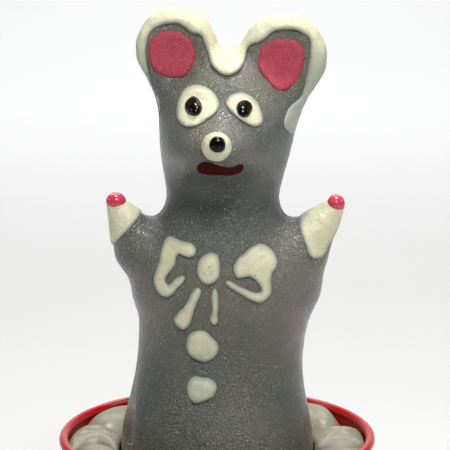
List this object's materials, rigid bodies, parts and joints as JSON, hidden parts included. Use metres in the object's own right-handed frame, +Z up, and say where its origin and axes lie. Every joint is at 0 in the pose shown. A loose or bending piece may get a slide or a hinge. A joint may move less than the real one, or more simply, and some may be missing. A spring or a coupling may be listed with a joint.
{
  "type": "clockwork mouse",
  "caption": "Wind-up toy: a moulded rubber mouse with round ears and raised paint turns and bobs in a gathered vinyl collar on a round red tin tub with a winding key at the back.",
  "frame": {"origin": "centre of the underside of the tub's base, on the table, under the mouse's spindle", "axes": "+Z up along the spindle; the mouse faces -Y; the winding key points along +Y"},
  "size_m": [0.103, 0.1258, 0.2117],
  "materials": {
    "red_tin": "gloss enamel on tinplate",
    "fibreboard": "matt",
    "vinyl": "glossy soft vinyl sheet",
    "steel": "satin",
    "spring_steel": "blued",
    "brass": "satin",
    "wood": "turned, unvarnished",
    "grey_rubber": "fine grain, semi-gloss",
    "cream_paint": "thick hand-laid latex slip",
    "pink_paint": "gloss",
    "black_paint": "gloss",
    "mouth_red": "gloss"
  },
  "bodies": {
    "tub": {"tub_wall": "red_tin", "tub_base": "fibreboard", "base_tacks": "steel", "collar": "vinyl", "collar_hoop": "steel", "key_bush": "brass", "front_plate": "steel", "back_plate": "steel", "pillars": "brass", "pillar_screws": "steel", "movement_screws": "steel", "top_bridge": "steel", "spindle_bush": "brass", "spindle_cock": "steel", "mainspring": "spring_steel", "brake_post": "brass"},
    "great_wheel": {"great_wheel": "brass", "click": "steel", "click_rivet": "brass"},
    "winding": {"winding_arbor": "steel", "ratchet_wheel": "steel", "winding_key": "steel"},
    "second_wheel": {"second_arbor": "steel", "second_pinion": "brass", "second_wheel": "brass", "contrate_wheel": "brass"},
    "third_wheel": {"third_arbor": "steel", "third_pinion": "brass", "third_wheel": "brass"},
    "governor": {"governor_arbor": "steel", "governor_pinion": "brass", "governor_fan": "steel", "brake_drum": "brass"},
    "brake_lever": {"brake_lever": "steel", "brake_knob": "red_tin"},
    "spindle": {"spindle": "steel", "spindle_pinion": "brass", "cross_pin": "steel", "bob_spring": "steel"},
    "mouse": {"mouse_body": "grey_rubber", "spindle_socket": "wood", "socket_screws": "steel", "ear_trim": "cream_paint", "ear_pad_left": "pink_paint", "ear_pad_right": "pink_paint", "eye_left": "cream_paint", "eye_right": "cream_paint", "pupil_left": "black_paint", "pupil_right": "black_paint", "nose_bead": "cream_paint", "nose_tip": "black_paint", "mouth": "mouth_red", "paw_left": "cream_paint", "paw_right": "cream_paint", "claw_left": "pink_paint", "claw_right": "pink_paint", "bow_left": "cream_paint", "bow_right": "cream_paint", "bow_knot_and_tails": "cream_paint", "buttons": "cream_paint"}
  },
  "joints": [
    {"name": "great_wheel_spin", "type": "hinge", "parent": "tub", "child": "great_wheel", "pos_m": [0, 0, 0.017], "axis": [0, -1, 0], "continuous": true},
    {"name": "key_wind", "type": "hinge", "parent": "great_wheel", "child": "winding", "pos_m": [0, 0, 0.017], "axis": [0, -1, 0], "continuous": true},
    {"name": "second_wheel_spin", "type": "hinge", "parent": "tub", "child": "second_wheel", "pos_m": [0, 0, 0.033], "axis": [0, -1, 0], "continuous": true},
    {"name": "third_wheel_spin", "type": "hinge", "parent": "tub", "child": "third_wheel", "pos_m": [0.01504, 0, 0.02753], "axis": [0, -1, 0], "continuous": true},
    {"name": "governor_spin", "type": "hinge", "parent": "tub", "child": "governor", "pos_m": [0.02729, 0, 0.01724], "axis": [0, -1, 0], "continuous": true},
    {"name": "spindle_spin", "type": "hinge", "parent": "tub", "child": "spindle", "pos_m": [0, 0, 0.0492], "axis": [0, 0, 1], "continuous": true},
    {"name": "mouse_bob", "type": "slide", "parent": "spindle", "child": "mouse", "axis": [0, 0, 1], "range_m": [-0.012, 0], "stiffness_N_per_m": 200, "springref_m": 0.012, "deforming": ["bob_spring"]},
    {"name": "brake_lever_turn", "type": "hinge", "parent": "tub", "child": "brake_lever", "pos_m": [0.034, 0.021, 0.01724], "axis": [0, 0, 1], "range_deg": [0, 8]}
  ],
  "couplings": [
    {"joint": "great_wheel_spin", "follows": "spindle_spin", "ratio": -0.2},
    {"joint": "second_wheel_spin", "follows": "spindle_spin", "ratio": 0.6},
    {"joint": "third_wheel_spin", "follows": "spindle_spin", "ratio": -1.8},
    {"joint": "governor_spin", "follows": "spindle_spin", "ratio": 5.4}
  ]
}
